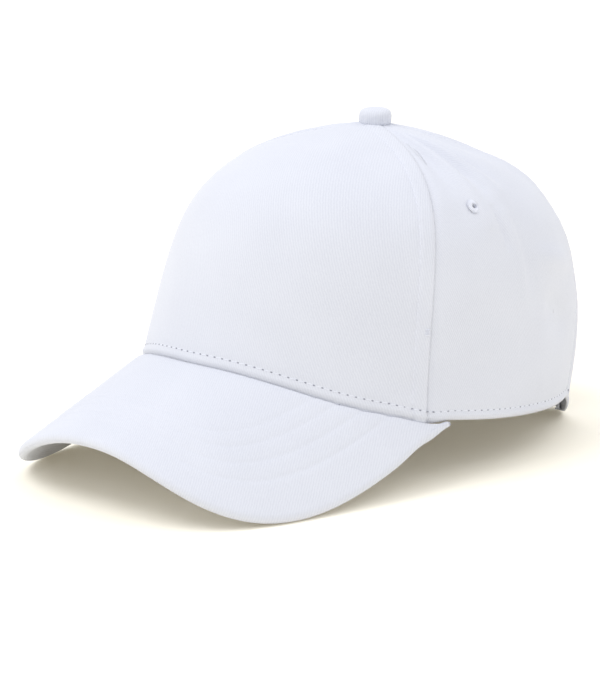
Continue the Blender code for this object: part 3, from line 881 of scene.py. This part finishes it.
bm = cloth_grid(ARCH_STEPS, len(BINDING) - 1, binding_place, lambda a, f: (a * 142, f * 14))
bmesh.ops.recalc_face_normals(bm, faces=bm.faces)
outer_faces = [f for f in bm.faces if abs(f.calc_center_median().x) < 0.01 and f.normal.z > 0.5]
if outer_faces:
    bmesh.ops.reverse_faces(bm, faces=bm.faces)
area = area_of(bm)
binding = finish_piece("arch_binding_twill", bm, twill, ["arch_binding"])

bm = bmesh.new()
path = []
for k in range(ARCH_STEPS + 1):
    edge, away, out = binding_frame(k / ARCH_STEPS)
    path.append((edge + 3.5 * away + 0.42 * out, out))
sew(bm, path, TOPSTITCH)
finish_piece("arch_binding_thread", bm, thread)


# Closure strap
# A tube of twill, pressed flat and edge-stitched. Its left end is sewn in behind the sweatband,
# and it runs through the buckle into the right pocket. It slides along its own arc.

ARC_CENTRE_Y = 34.7
STRAP_OUTER, STRAP_END = 65.8, 44.5
STRAP_LOW, STRAP_HIGH = 3.5, 21.5


def arc_point(degrees, radius, height):
    angle = math.radians(degrees)
    return Vector((radius * math.sin(angle), ARC_CENTRE_Y + radius * math.cos(angle), height))


def strap_puff(up):
    height = up * (STRAP_HIGH - STRAP_LOW)
    edge = min(height, STRAP_HIGH - STRAP_LOW - height)
    return 0.45 * dip(edge, 0.6) + 0.28 * dip(edge - 2.2, 0.7)


def strap_place(across, up):
    degrees = STRAP_END * (2 * across - 1)
    ripple = 0.07 * noise.noise(Vector((degrees / 2.2, up * 4, 7)))
    height = STRAP_LOW + (STRAP_HIGH - STRAP_LOW) * up
    return arc_point(degrees, STRAP_OUTER - strap_puff(up) - abs(ripple), height)


bm = cloth_grid(150, 26, strap_place, lambda a, u: (106 * a, 18 * u))
bmesh.ops.reverse_faces(bm, faces=bm.faces)
area = area_of(bm)
strap = finish_piece("closure_strap_twill", bm, twill, ["closure_strap"], body="strap")
give_thickness(strap, 1.0)

bm = bmesh.new()
for up in (2.2 / 18, 15.8 / 18):
    sew(bm, [(strap_place(k / 400, up), arc_point(STRAP_END * (k / 200 - 1), 1, 0)
              - arc_point(0, 0, 0)) for k in range(401)], 3.2)
finish_piece("closure_strap_thread", bm, thread, body="strap")


# Buckle tab
# A short twill ribbon goes round the buckle's bar; both its ends are sewn into the right pocket.

BAR_ANGLE, BAR_RADIUS = -11.0, 68.3
TAB_LAYERS, TAB_FOLD, TAB_LOW, TAB_WIDTH = (66.35, 67.05), 1.45, 4.2, 16.6

near_bar = BAR_ANGLE - 3.4
bar = arc_point(BAR_ANGLE, BAR_RADIUS, 0)
tab_path = [arc_point(-STRAP_END + (near_bar + STRAP_END) * k / 40, TAB_LAYERS[1], 0) for k in range(41)]
for k in range(25):
    angle = math.radians(150 - 300 * k / 24)
    tab_path.append(bar + TAB_FOLD * Vector((math.cos(angle), math.sin(angle), 0)))
tab_path += [arc_point(near_bar - (near_bar + STRAP_END) * k / 40, TAB_LAYERS[0], 0) for k in range(41)]
TAB_LAST = len(tab_path) - 1


def tab_place(along, up):
    return tab_path[round(along * TAB_LAST)] + Vector((0, 0, TAB_LOW + TAB_WIDTH * up))


bm = cloth_grid(TAB_LAST, 16, tab_place, lambda a, u: (88 * a, TAB_WIDTH * u))
area = area_of(bm)
tab = finish_piece("buckle_tab_twill", bm, twill, ["buckle_tab"])
give_thickness(tab, 0.55, 0.0)


# Buckle, rivet and button shell
# Stamped steel, nickel plated and brushed along the strap. The fine scratches stretch its glints.

nickel, tree, shader = new_material("brushed_nickel_on_steel", "#cfccc4", 0.3, Metallic=1.0)
space = add(tree, "ShaderNodeTexCoord", {}).outputs["Object"]
along_strap = add(tree, "ShaderNodeMapping", {"Vector": space, "Scale": (60, 2500, 4000)})
scratches = add(tree, "ShaderNodeTexNoise", {
    "Vector": along_strap.outputs["Vector"], "Scale": 1.0, "Detail": 3.0})
rough = add(tree, "ShaderNodeMapRange", {
    "Value": scratches.outputs["Fac"], "From Min": 0.3, "From Max": 0.7, "To Min": 0.22, "To Max": 0.42})
tree.links.new(rough.outputs["Result"], shader.inputs["Roughness"])
bump = add(tree, "ShaderNodeBump", {"Height": scratches.outputs["Fac"], "Strength": 0.3,
                                    "Distance": 0.00004})
tree.links.new(bump.outputs["Normal"], shader.inputs["Normal"])

for name in ("button_core", "button_rivet", "buckle_frame", "buckle_lever", "lever_pin"):
    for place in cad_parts[name].material_slots:
        place.material = nickel


# Brim board
# Extruded white polyethylene sheet, cut to the brim's outline, with a faint grain from its rollers.

board, tree, shader = new_material("white_polyethylene_board", "#dcdddc", 0.45)
space = add(tree, "ShaderNodeTexCoord", {}).outputs["Object"]
grain = add(tree, "ShaderNodeTexNoise", {"Vector": space, "Scale": 1 / 0.0012, "Detail": 2.0})
bump = add(tree, "ShaderNodeBump", {"Height": grain.outputs["Fac"], "Strength": 0.3,
                                    "Distance": 0.00005})
tree.links.new(bump.outputs["Normal"], shader.inputs["Normal"])

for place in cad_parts["brim_board"].material_slots:
    place.material = board


# Table and light
# White paper under a white ceiling of light, with one broad softbox to the left of the brim.
# The paper itself glows faintly warm: painted light that lifts and browns the shade under the cap.

paper, tree, shader = new_material("warm_white_paper", "#fdfaf0", 0.95, Specular_IOR_Level=0.0)
space = add(tree, "ShaderNodeTexCoord", {}).outputs["Object"]
fibre = add(tree, "ShaderNodeTexNoise", {"Vector": space, "Scale": 1 / 0.02, "Detail": 3.0})
tint = add(tree, "ShaderNodeMix", {
    "Factor": fibre.outputs["Fac"], 6: linear("#fdfaef"), 7: linear("#fefbf2")}, data_type="RGBA")
tree.links.new(tint.outputs[2], shader.inputs["Base Color"])
# Painted light: a faint warm glow from the paper itself, which lightens and warms the shade on the table.
shader.inputs["Emission Color"].default_value = linear("#ffeab4")
shader.inputs["Emission Strength"].default_value = 0.09

bm = bmesh.new()
bmesh.ops.create_grid(bm, x_segments=8, y_segments=8, size=5)
bmesh.ops.translate(bm, verts=bm.verts, vec=(0, 0, -0.0002))
mesh = bpy.data.meshes.new("table")
bm.to_mesh(mesh)
bm.free()
mesh.materials.append(paper)
table = bpy.data.objects.new("table", mesh)
bpy.context.scene.collection.objects.link(table)

world = bpy.data.worlds.new("white_room")
world.use_nodes = True
sky = world.node_tree.nodes["Background"]
sky.inputs["Color"].default_value = linear("#fdfdff")
sky.inputs["Strength"].default_value = 1.02
bpy.context.scene.world = world


def softbox(name, place, aim, size, power):
    lamp = bpy.data.lights.new(name, "AREA")
    lamp.shape = "DISK"
    lamp.size = size
    lamp.energy = power
    lit = bpy.data.objects.new(name, lamp)
    lit.location = place
    lit.rotation_mode = "QUATERNION"
    lit.rotation_quaternion = (Vector(aim) - Vector(place)).to_track_quat("-Z", "Y")
    bpy.context.scene.collection.objects.link(lit)


softbox("key", (-0.7, -1.0, 2.1), (0, 0, 0.05), 1.6, 20)
softbox("fill", (0.9, 1.1, 1.9), (0, 0, 0.05), 1.6, 5)

bpy.context.scene.view_settings.view_transform = "Standard"
bpy.context.scene.view_settings.look = "None"
